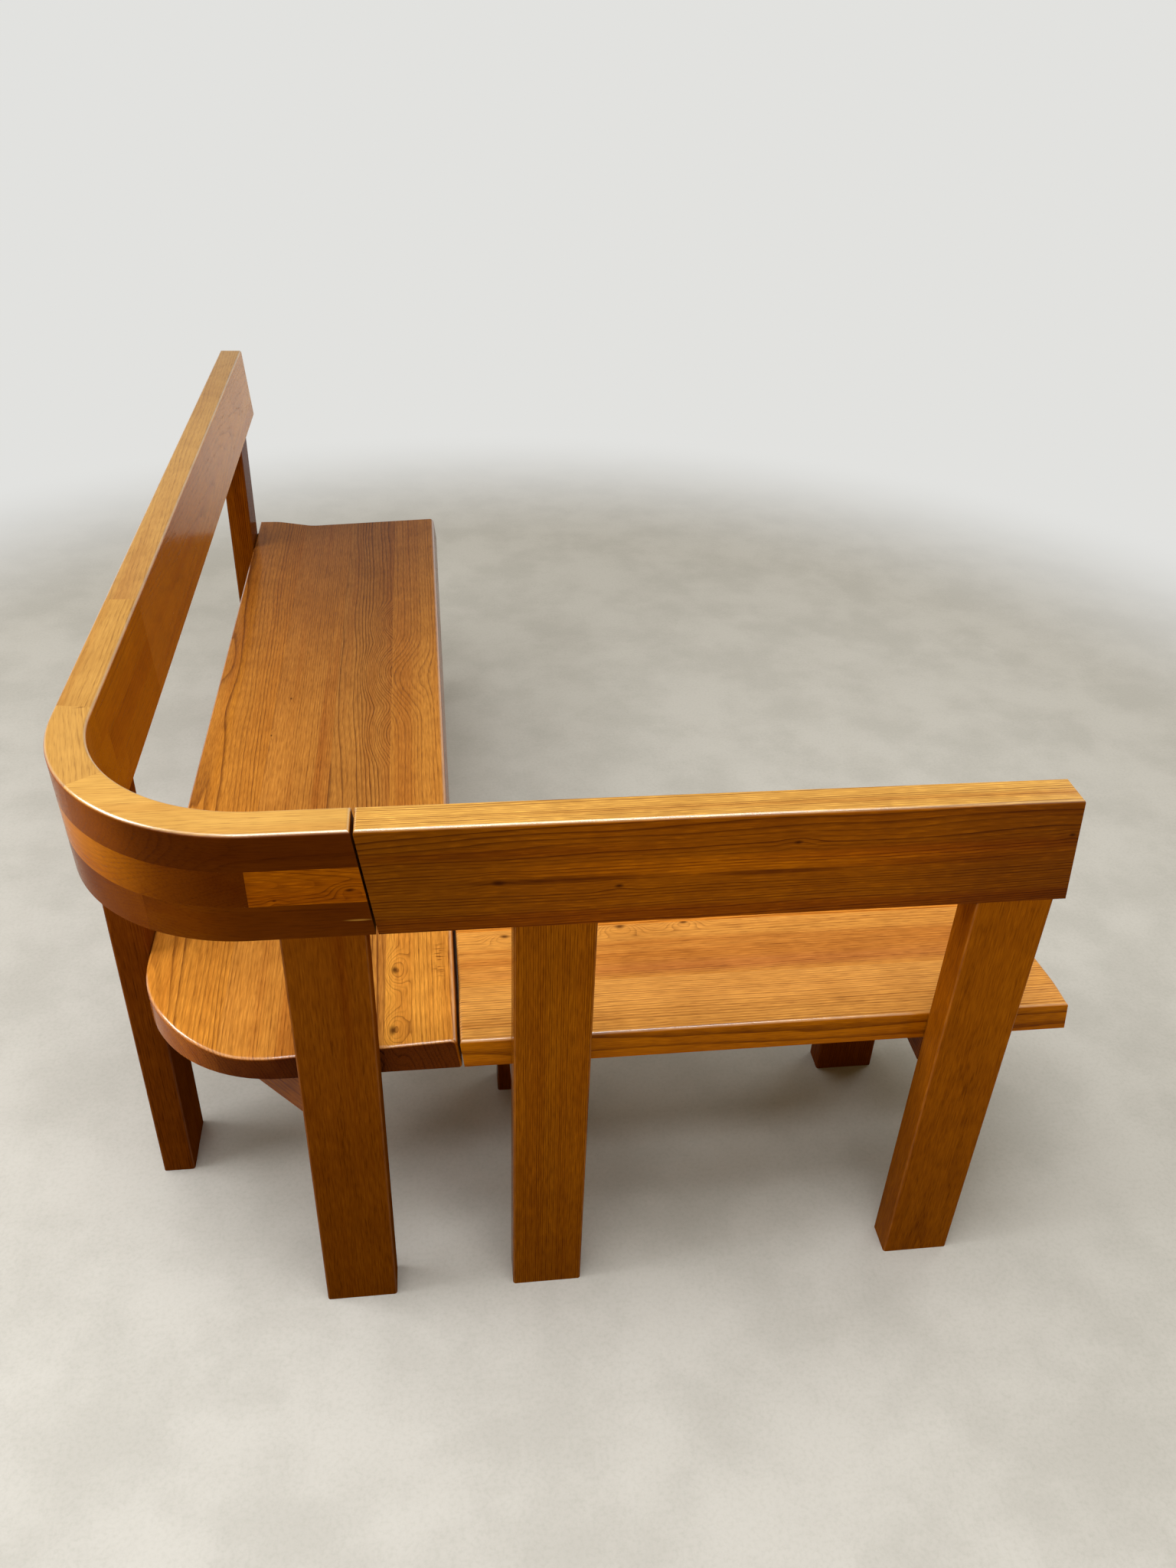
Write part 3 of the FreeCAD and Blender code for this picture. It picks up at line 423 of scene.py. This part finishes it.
def wood(name, piece, turn, seed, figure):
    """Solid wood with yearly rings round a pith beside the board, fibres, pores, knots and varnish."""
    material, tree = new_material(name)
    board = Board(tree, piece, turn, seed, figure)
    line = board.ring_line()
    fibre = board.level(FIBRE)
    fleck = board.level(FLECK)
    cloud = board.level(CLOUD)
    crowding = calc(tree, "MULTIPLY_ADD", line, PORES_IN_LINES, PORES_ALL_OVER)
    pore = calc(tree, "MULTIPLY", span(tree, fleck, *PORE_RANGE), crowding)
    sawn = board.sawn()
    edge = board.edge()

    # colour
    spread = figure.fibres / 2
    colour = blend(tree, span(tree, fibre, *FIBRE_RANGE, 0.5 - spread, 0.5 + spread), PALE, GROUND)
    colour = tint(tree, span(tree, fleck, *FLECK_RANGE, 0.0, figure.flecks), colour, FLECK_TINT)
    colour = blend(tree, calc(tree, "MULTIPLY", line, LINE_STRENGTH * figure.contrast), colour, DARK)
    colour = blend(tree, calc(tree, "MULTIPLY", pore, figure.pores), colour, DARK)
    streak = span(tree, board.level(STREAK), *STREAK_RANGE, 0.0, figure.streaks)
    colour = tint(tree, streak, colour, STREAK_TINT)
    colour = tint(tree, span(tree, cloud, *CLOUD_RANGE, 0.0, CLOUD_STRENGTH), colour, CLOUD_TINT)
    mottle = span(tree, board.level(MOTTLE), *MOTTLE_RANGE, 0.0, MOTTLE_STRENGTH)
    colour = tint(tree, mottle, colour, MOTTLE_TINT)
    colour = add_marks(board, colour)
    # painted light and shade: lighter on what faces up, darker on the sides
    colour = tint(tree, 1.0, colour, painted_face_light(board))
    colour = tint(tree, sawn, colour, SAWN_TINT)
    # rounded edges are lighter, in part from wear and in part as a painted highlight
    wear_and_highlight = span(tree, board.level(RUB), *RUB_RANGE, *RUB_STRENGTH)
    colour = tint(tree, calc(tree, "MULTIPLY", edge, wear_and_highlight), colour, WEAR_AND_HIGHLIGHT_TINT)

    # varnish, which is polished on rounded edges, sunk into the pores and dull on end grain
    polish = calc(tree, "MULTIPLY_ADD", sawn, SAWN_POLISH, figure.edge_polish)
    polish = calc(tree, "MAXIMUM", polish, 0.0)
    rough = span(tree, cloud, *CLOUD_ROUGHNESS_RANGE, *CLOUD_ROUGHNESS)
    rough = calc(tree, "MULTIPLY_ADD", pore, PORE_ROUGHNESS, rough)
    rough = calc(tree, "MULTIPLY_ADD", sawn, SAWN_ROUGHNESS, rough)
    dents = calc(tree, "MULTIPLY_ADD", line, LINE_DEPTH, pore)
    height = calc(tree, "SUBTRACT", calc(tree, "MULTIPLY", fibre, FIBRE_HEIGHT), dents)
    relief = {"Strength": BUMP_STRENGTH, "Distance": BUMP_DISTANCE, "Height": height}
    put_out(tree, node(tree, "ShaderNodeBsdfPrincipled", {
        "Base Color": colour,
        "Roughness": rough,
        "Specular IOR Level": figure.gloss,
        "Specular Tint": opaque(GLOSS_TINT),
        "Coat Weight": calc(tree, "MULTIPLY", edge, polish),
        "Coat Roughness": COAT_ROUGHNESS,
        "Coat IOR": COAT_IOR,
        "Normal": node(tree, "ShaderNodeBump", relief).outputs[0],
    }))
    return material


# wood: directions of the grain

ALONG_X = Euler((0, 0, 0))
ALONG_Y = Euler((0, 0, -math.pi / 2))
UPRIGHT = Euler((0, math.pi / 2, 0))
DIAGONAL = Euler((0, 0, math.pi / 4))


def chord(start, end):
    """Straight grain along the chord between two angles round the bend, in degrees."""
    middle = math.radians((start + end) / 2)
    return Euler((0, 0, math.atan2(math.cos(middle), math.sin(middle))))


BOTTOM_ARC = chord(-31, 61)
MIDDLE_ARC = chord(-19, 91)
TOP_ARC = chord(-10, 35)


# wood: painted light and shade that pieces share

SEAT_HEIGHT = 0.45
REAR = -0.957  # y of the short back's rear face, half way up
BACK_LEGS = -0.93  # y of the legs in line with the short back


def painted_far_shade(x):
    """Painted shade: the far end of the long seat is darker and more brown, where less light falls."""
    return Patch((x, 1.05, SEAT_HEIGHT), 1.3, 0.8, (0.52, 0.48, 0.64))


def painted_near_light(x):
    """Painted light: the near end of the long seat is the lightest, where most light falls."""
    return Patch((x, -0.90, SEAT_HEIGHT), 0.60, 0.6, (1.34, 1.38, 1.4))


def painted_join_light(y):
    """Painted light: the short seat is lighter where the two seats meet."""
    return Patch((-0.14, y, SEAT_HEIGHT), 0.28, 0.4, (1.16, 1.20, 1.2))


def painted_foot_shade(x, y):
    """Painted shade: a leg is darker towards the floor."""
    return Patch((x, y, 0.0), 0.55, 0.4, (0.75, 0.74, 0.6))


# the grain and the figure of every wooden piece; the top, side and rear tints in it are painted light
# and shade, and tint the legs and rails under the seats dark

LONG_FRAME = {
    "corner_leg": (UPRIGHT, replace(
        LEG, pith=(0.05, -0.12), contrast=0.5, side=(0.37, 0.27, 0.3), gloss=0.0,
        patches=(painted_foot_shade(-0.618, -0.653),))),
    "end_leg": (UPRIGHT, replace(
        LEG, pith=(0.20, 0.02), contrast=0.3, streaks=1.0, side=(0.43, 0.35, 0.25), gloss=0.0,
        patches=(painted_foot_shade(-0.327, BACK_LEGS),))),
    "long_far_back_leg": (UPRIGHT, replace(LEG, pith=(0.06, -0.1), side=(0.36, 0.26, 0.1))),
    "long_far_front_leg": (UPRIGHT, replace(LEG, pith=(0.04, -0.1), side=(0.4, 0.3, 0.1))),
    "long_far_bearer": (ALONG_X, RAIL),
    "diagonal_bearer": (DIAGONAL, replace(RAIL, side=(0.62, 0.5, 0.2))),
}
LONG_BACK = {
    "long_back_board": (ALONG_Y, replace(
        BACK, pith=(0.10, -0.02), taper=0.03, contrast=0.4, gloss=0.06,
        side=(0.82, 0.75, 0.15), rear=(0.64, 0.50, 0.15),
        front_patches=(
            # painted light and sheen: the far end of the inner face is paler
            Patch((-0.60, 1.0, 0.75), 1.15, 0.6, (1.9, 2.5, 3.0)),  # paler far end
        ))),
    "corner_bottom_straight": (ALONG_Y, replace(COURSE, rear=(0.46, 0.34, 0.15))),
    "corner_bottom_arc": (BOTTOM_ARC, replace(COURSE, contrast=0.3, rear=(0.44, 0.32, 0.15))),
    "corner_bottom_end": (ALONG_X, replace(
        COURSE, contrast=0.3, rear=(0.26, 0.175, 0.06),
        rear_patches=(
            # painted light: the left end is lighter, where light falls from the left
            Patch((-0.50, -0.935, 0.70), 0.11, 0.06, (1.5, 1.6, 1.0)),
            Patch((-0.2863, -0.9546, 0.7009), 0.02, 0.002, (3.6, 8.0, 60.0)),  # pale chip
        ))),
    "corner_middle_straight": (ALONG_Y, replace(COURSE, rear=(0.62, 0.49, 0.15))),
    "corner_middle_arc": (MIDDLE_ARC, replace(
        COURSE, contrast=0.3, rear=(0.38, 0.27, 0.06),
        rear_patches=(
            # painted light: the left end is lighter, where light falls from the left
            Patch((-0.60, -0.855, 0.757), 0.14, 0.2, (3.0, 3.8, 1.8)),
            Patch((-0.40, -0.958, 0.750), 0.11, 0.2, (0.62, 0.54, 0.6)),
        ))),
    "corner_middle_end": (ALONG_X, replace(
        COURSE, pith=(-0.038, 0.002), spacing=0.0042, taper=0.10, contrast=1.2, flecks=0.6, pores=0.6,
        rear=(0.78, 0.63, 0.1),
        knots=(
            Knot((-0.2914, -0.958, 0.7462), 0.004, 0.012),
            Knot((-0.3757, -0.957, 0.7353), 0.002, 0.004),
        ))),
    "corner_top_straight": (ALONG_Y, replace(COURSE, pith=(0.07, -0.05), rear=(0.58, 0.44, 0.12))),
    "corner_top_arc": (TOP_ARC, replace(
        COURSE, pith=(0.08, -0.05), contrast=0.3, rear=(0.6, 0.44, 0.1),
        patches=(
            Patch((-0.6150, -0.6815, 0.83), 0.0016, 0.016, (0.4, 0.3, 0.3)),  # short dark mark
        ))),
    "corner_top_end": (ALONG_X, replace(
        COURSE, pith=(0.1, 0.03), contrast=0.3, top=(0.96, 1.58, 6.0), rear=(0.21, 0.13, 0.05),
        rear_patches=(
            # painted light: the left end is lighter, where light falls from the left
            Patch((-0.59, -0.87, 0.797), 0.17, 0.10, (2.7, 3.2, 1.0)),
        ))),
}
LONG_SEAT = {
    "long_seat_rear_board": (ALONG_Y, replace(
        SEAT, pith=(0.045, -0.040), spacing=0.0042, contrast=1.1, top=(0.95, 1.08, 2.1),
        patches=(painted_far_shade(-0.54), painted_near_light(-0.54)))),
    "long_seat_inner_board": (ALONG_Y, replace(
        SEAT, pith=(0.25, -0.10), spacing=0.0042, taper=0.004, wander=0.006, contrast=0.9, streaks=0.9,
        top=(0.84, 0.96, 2.2),
        patches=(painted_far_shade(-0.43), painted_near_light(-0.43)),
        knots=(
            Knot((-0.4585, 0.0112, 0.438), 0.003, 0.006),
            Knot((-0.4840, -0.1208, 0.44), 0.003, 0.006),
        ))),
    "long_seat_middle_board": (ALONG_Y, replace(
        SEAT, pith=(0.10, -0.05), spacing=0.0068, taper=0.02, wander=0.02, contrast=1.5,
        top=(0.82, 0.98, 2.5),
        patches=(painted_far_shade(-0.32), painted_near_light(-0.32)),
        swells=(
            Swell((-0.270, 0.298, SEAT_HEIGHT), 0.06, 0.05),
            Swell((-0.270, 0.09, SEAT_HEIGHT), 0.08, 0.06),
            Swell((-0.270, -0.142, SEAT_HEIGHT), 0.06, 0.04),
        ))),
    "long_seat_front_board": (ALONG_Y, replace(
        SEAT, pith=(0.14, -0.05), taper=0.008, contrast=0.95, top=(0.94, 1.13, 2.6),
        patches=(
            painted_far_shade(-0.22),
            painted_near_light(-0.22),
            # painted light: the near end of this board is lighter still
            Patch((-0.22, -0.85, SEAT_HEIGHT), 0.5, 0.5, (1.13, 1.15, 1.05)),
        ),
        swells=(Swell((-0.275, 0.06, SEAT_HEIGHT), 0.10, 0.04),),
        knots=(
            Knot((-0.2602, -0.7625, 0.449), 0.006, 0.032),
            Knot((-0.2622, -0.8758, 0.449), 0.006, 0.030),
        ),
        # painted shade: the upright face along the gap between the seats is darkened and dulled like
        # end grain
        dull=(Patch((-0.176, -0.70, 0.43), 0.34, 0.03),),
        ticks=(Patch((-0.2000, -0.7500, 0.452), 0.05, 0.014),))),
}
SHORT_FRAME = {
    "short_near_back_leg": (UPRIGHT, replace(
        LEG, pith=(0.03, 0.22), contrast=1.1, flecks=0.35, side=(0.64, 0.57, 0.25),
        patches=(painted_foot_shade(-0.062, BACK_LEGS),))),
    # painted shade: the front legs and the outer bearer stand under the seat, and their dark side
    # tints paint its shade
    "short_near_front_leg": (UPRIGHT, replace(LEG, side=(0.3, 0.2, 0.1))),
    "short_near_bearer": (ALONG_Y, RAIL),
    "short_outer_back_leg": (UPRIGHT, replace(
        LEG, pith=(0.25, 0.0), contrast=0.4, side=(0.66, 0.56, 0.25),
        patches=(painted_foot_shade(0.497, BACK_LEGS),))),
    "short_outer_front_leg": (UPRIGHT, replace(LEG, side=(0.36, 0.24, 0.1))),
    "short_outer_bearer": (ALONG_Y, replace(RAIL, side=(0.3, 0.2, 0.1))),
}
SHORT_BACK = {
    "short_back_board": (ALONG_X, replace(
        BACK, pith=(0.07, 0.12), spacing=0.0036, contrast=1.3, streaks=1.0, flecks=0.5,
        top=(0.96, 1.50, 5.0), side=(0.63, 0.51, 0.1),
        rear_patches=(
            # lighter along the middle and darker towards the ends
            Patch((0.20, REAR, 0.758), 0.50, 0.022, (1.5, 1.55, 1.2)),
            Patch((-0.27, REAR, 0.75), 0.28, 0.3, (0.7, 0.72, 0.8)),
            Patch((0.62, REAR, 0.75), 0.35, 0.3, (0.66, 0.62, 0.8)),
            # dark streaks
            Patch((-0.06, REAR, 0.7465), 0.17, 0.007, (0.45, 0.36, 0.5)),
            Patch((0.19, REAR, 0.7440), 0.13, 0.006, (0.45, 0.36, 0.5)),
            Patch((0.40, REAR, 0.7500), 0.20, 0.010, (0.7, 0.6, 0.6)),
            # fainter, redder streaks
            Patch((0.44, REAR, 0.7680), 0.36, 0.016, (0.86, 0.72, 0.7)),
            Patch((-0.16, REAR, 0.7900), 0.26, 0.012, (0.84, 0.76, 0.7)),
        ),
        knots=(
            Knot((-0.1298, REAR, 0.7463), 0.006, 0.004),
            Knot((0.0073, REAR, 0.7335), 0.004, 0.003),
            Knot((0.2113, REAR, 0.7861), 0.004, 0.003),
            Knot((0.5395, REAR, 0.7783), 0.003, 0.002),
        ))),
}
SHORT_SEAT = {
    "short_seat_rear_board": (ALONG_X, replace(
        SEAT, pith=(0.20, -0.06), spacing=0.0048, taper=0.004, wander=0.006,
        top=(1.20, 1.58, 5.0), side=(0.92, 0.82, 0.12),
        patches=(painted_join_light(-0.84),))),
    "short_seat_inner_board": (ALONG_X, replace(
        SEAT, pith=(0.25, -0.1), spacing=0.0042, wander=0.006, contrast=0.7, streaks=0.9,
        top=(1.16, 1.46, 4.2),
        patches=(
            Patch((0.24, -0.775, 0.44), 0.6, 0.022, (0.8, 0.66, 0.75)),  # brown streak
            painted_join_light(-0.74),
        ),
        knots=(
            Knot((0.0616, -0.6898, 0.446), 0.006, 0.026),
            Knot((0.1557, -0.687, 0.446), 0.005, 0.020),
            Knot((-0.1052, -0.6984, 0.446), 0.005, 0.020),
        ))),
    "short_seat_middle_board": (ALONG_X, replace(SEAT, pith=(0.09, -0.06), wander=0.008)),
    "short_seat_front_board": (ALONG_X, replace(SEAT, pith=(0.0, -0.06), taper=0.03)),
}
DOWELS = {
    "long_leg_dowels": (ALONG_X, RAIL),
    "diagonal_bearer_dowels": (ALONG_X, RAIL),
    "long_back_dowels": (ALONG_Y, RAIL),
    "short_leg_dowels": (ALONG_Y, RAIL),
}
# the order gives each board its place in the noise
WOODEN = LONG_FRAME | LONG_BACK | LONG_SEAT | SHORT_FRAME | SHORT_BACK | SHORT_SEAT | DOWELS
EASED = ("leg", "back_board", "bearer")  # endings of the pieces whose sharp edges are broken
EASE_WIDTH = 0.0008
EASE_ANGLE = math.radians(35)
WELD_REACH = 0.00002


# steel

STEEL = ("long_seat_screws", "short_seat_screws")
ZINC_CLOUD = Texture((400.0, 400.0, 400.0), 3.0)
ZINC_GREY = (0.50, 0.50, 0.53)
ZINC_PALE = (0.70, 0.70, 0.70)
ZINC_RANGE = (0.3, 0.7)
ZINC_ROUGHNESS = (0.25, 0.45)


def zinc():
    """Zinc-plated steel, clouded and a little uneven in its polish."""
    material, tree = new_material("zinc_steel")
    cloud = noise(tree, object_place(tree), ZINC_CLOUD)["Fac"]
    put_out(tree, node(tree, "ShaderNodeBsdfPrincipled", {
        "Base Color": blend(tree, cloud, ZINC_GREY, ZINC_PALE),
        "Roughness": span(tree, cloud, *ZINC_RANGE, *ZINC_ROUGHNESS),
        "Metallic": 1.0,
    }))
    return material


# finish

def dress(piece, material):
    for slot in nodes[piece].material_slots:
        slot.material = material


def ease(piece):
    """Breaks a piece's sharp edges."""
    modifiers = nodes[piece].modifiers
    weld = modifiers.new("weld", "WELD")
    weld.merge_threshold = WELD_REACH
    bevel = modifiers.new("ease", "BEVEL")
    bevel.width = EASE_WIDTH
    bevel.segments = 2
    bevel.limit_method = "ANGLE"
    bevel.angle_limit = EASE_ANGLE
    normals = modifiers.new("normals", "WEIGHTED_NORMAL")
    normals.mode = "FACE_AREA"


def add_finish():
    for seed, (piece, (turn, figure)) in enumerate(WOODEN.items(), start=1):
        dress(piece, wood(f"elm_{piece}", piece, turn, seed, figure))
        if piece.endswith(EASED):
            ease(piece)
    steel = zinc()
    for piece in STEEL:
        dress(piece, steel)


# surroundings

class Lamp(NamedTuple):
    """A rectangular lamp, its place and what it points at."""
    name: str
    watts: float
    place: tuple
    target: tuple
    width: float
    depth: float


BACKGROUND = (0.76, 0.76, 0.74)
FLOOR_REACH = 40
FLOOR_FADE = (1.75, 2.9)  # distances at which the floor starts to pass into the backdrop and is gone
FLOOR_CLOUD = Texture((5.0, 5.0, 5.0), 8.0, 0.62)
FLOOR_SPECK = Texture((160.0, 160.0, 160.0), 3.0, 0.7)
FLOOR_CLOUD_RANGE = (0.36, 0.66)
FLOOR_SPECK_RANGE = (0.4, 0.75)
FLOOR_SPECK_STRENGTH = 0.6
FLOOR_PALE = (0.50, 0.476, 0.422)
FLOOR_GREY = (0.44, 0.418, 0.367)
FLOOR_SPECK_TINT = (0.88, 0.88, 0.86)
FLOOR_ROUGHNESS = 0.6
FLOOR_GLOSS = 0.25
SHADE_LIGHT = (0.20, 0.155, 0.065)
LAMP_COLOUR = (0.97, 1.0, 1.06)
SUN_STRENGTH = 0.95
SUN_PLACE = (-1.2, 0.8, 3.0)
SUN_TARGET = (0.0, 0.2, 0.0)
SUN_ANGLE = math.radians(50)
LAMPS = (
    Lamp("panel", 53.0, (-0.1, -1.25, 3.2), (-0.15, -0.85, 0.0), 2.2, 0.9),
    Lamp("strip", 37.0, (0.0, -2.4, 3.2), (-0.1, -0.9, 0.6), 2.6, 0.4),
    Lamp("window", 66.0, (-2.7, -0.7, 2.5), (-0.7, -0.4, 0.4), 1.6, 1.4),
    Lamp("fill", 20.0, (2.6, 1.1, 2.5), (-0.6, 0.5, 0.6), 1.6, 1.4),
)
# the photograph's viewpoint, found by fitting the bench's edges
CAMERA_PLACE = (-0.189930, -2.042097, 1.607391)
CAMERA_RIGHT = Vector((0.992129, -0.120309, 0.034721))
CAMERA_DOWN = Vector((-0.038289, -0.555478, -0.830649))
CAMERA_LENS = 28.358
CAMERA_SENSOR = 36


def seen_rays(tree):
    """One for rays that show the background: camera rays, reflections and refractions."""
    rays = node(tree, "ShaderNodeLightPath").outputs
    seen = calc(tree, "MAXIMUM", rays["Is Camera Ray"], rays["Is Glossy Ray"])
    return calc(tree, "MAXIMUM", seen, rays["Is Transmission Ray"])


def add_object(name, data):
    thing = bpy.data.objects.new(name, data)
    bpy.context.scene.collection.objects.link(thing)
    return thing


def pale_floor():
    """Pale cement, clouded and specked, which passes into the backdrop far from the bench."""
    material, tree = new_material("pale_floor")
    place = object_place(tree)
    cloud = span(tree, noise(tree, place, FLOOR_CLOUD)["Fac"], *FLOOR_CLOUD_RANGE)
    speck = noise(tree, place, FLOOR_SPECK)["Fac"]
    speck = span(tree, speck, *FLOOR_SPECK_RANGE, 0.0, FLOOR_SPECK_STRENGTH)
    colour = tint(tree, speck, blend(tree, cloud, FLOOR_PALE, FLOOR_GREY), FLOOR_SPECK_TINT)
    near = node(tree, "ShaderNodeBsdfPrincipled", {
        "Base Color": colour,
        "Roughness": FLOOR_ROUGHNESS,
        "Specular IOR Level": FLOOR_GLOSS,
    })
    far = node(tree, "ShaderNodeEmission", {0: opaque(BACKGROUND), 1: 1.0})
    fade = span(tree, measure(tree, "LENGTH", place), *FLOOR_FADE)
    fade = calc(tree, "MULTIPLY", fade, seen_rays(tree))
    mixed = {0: fade, 1: near.outputs[0], 2: far.outputs[0]}
    put_out(tree, node(tree, "ShaderNodeMixShader", mixed))
    return material


def add_floor():
    mesh = bpy.data.meshes.new("floor")
    low, high = -FLOOR_REACH, FLOOR_REACH
    corners = [(low, low, 0), (high, low, 0), (high, high, 0), (low, high, 0)]
    mesh.from_pydata(corners, [], [(0, 1, 2, 3)])
    mesh.materials.append(pale_floor())
    floor = add_object("floor", mesh)


def add_lamp(name, kind, energy, place, target, **settings):
    lamp = bpy.data.lights.new(name, kind)
    lamp.energy = energy
    lamp.color = LAMP_COLOUR
    for key, setting in settings.items():
        setattr(lamp, key, setting)
    thing = add_object(name, lamp)
    thing.location = place
    direction = Vector(target) - thing.location
    thing.rotation_euler = direction.to_track_quat("-Z", "Y").to_euler()


def add_light():
    """Soft studio light, with a warm world that fills the shade."""
    world = bpy.data.worlds.new("studio")
    bpy.context.scene.world = world
    world.use_nodes = True
    tree = world.node_tree
    tree.nodes.clear()
    colour = blend(tree, seen_rays(tree), SHADE_LIGHT, BACKGROUND)
    back = node(tree, "ShaderNodeBackground", {0: colour, 1: 1.0})
    node(tree, "ShaderNodeOutputWorld", {0: back.outputs[0]})
    add_lamp("ceiling", "SUN", SUN_STRENGTH, SUN_PLACE, SUN_TARGET, angle=SUN_ANGLE)
    for name, watts, place, target, width, depth in LAMPS:
        add_lamp(name, "AREA", watts, place, target, shape="RECTANGLE", size=width, size_y=depth)


def add_camera():
    camera = bpy.data.cameras.new("camera")
    camera.lens = CAMERA_LENS
    camera.sensor_width = CAMERA_SENSOR
    thing = add_object("camera", camera)
    turn = Matrix((CAMERA_RIGHT, -CAMERA_DOWN, CAMERA_DOWN.cross(CAMERA_RIGHT))).transposed()
    thing.matrix_world = Matrix.Translation(CAMERA_PLACE) @ turn.to_4x4()
    bpy.context.scene.camera = thing


add_finish()
add_floor()
add_light()
add_camera()
bpy.context.scene.view_settings.view_transform = "Standard"
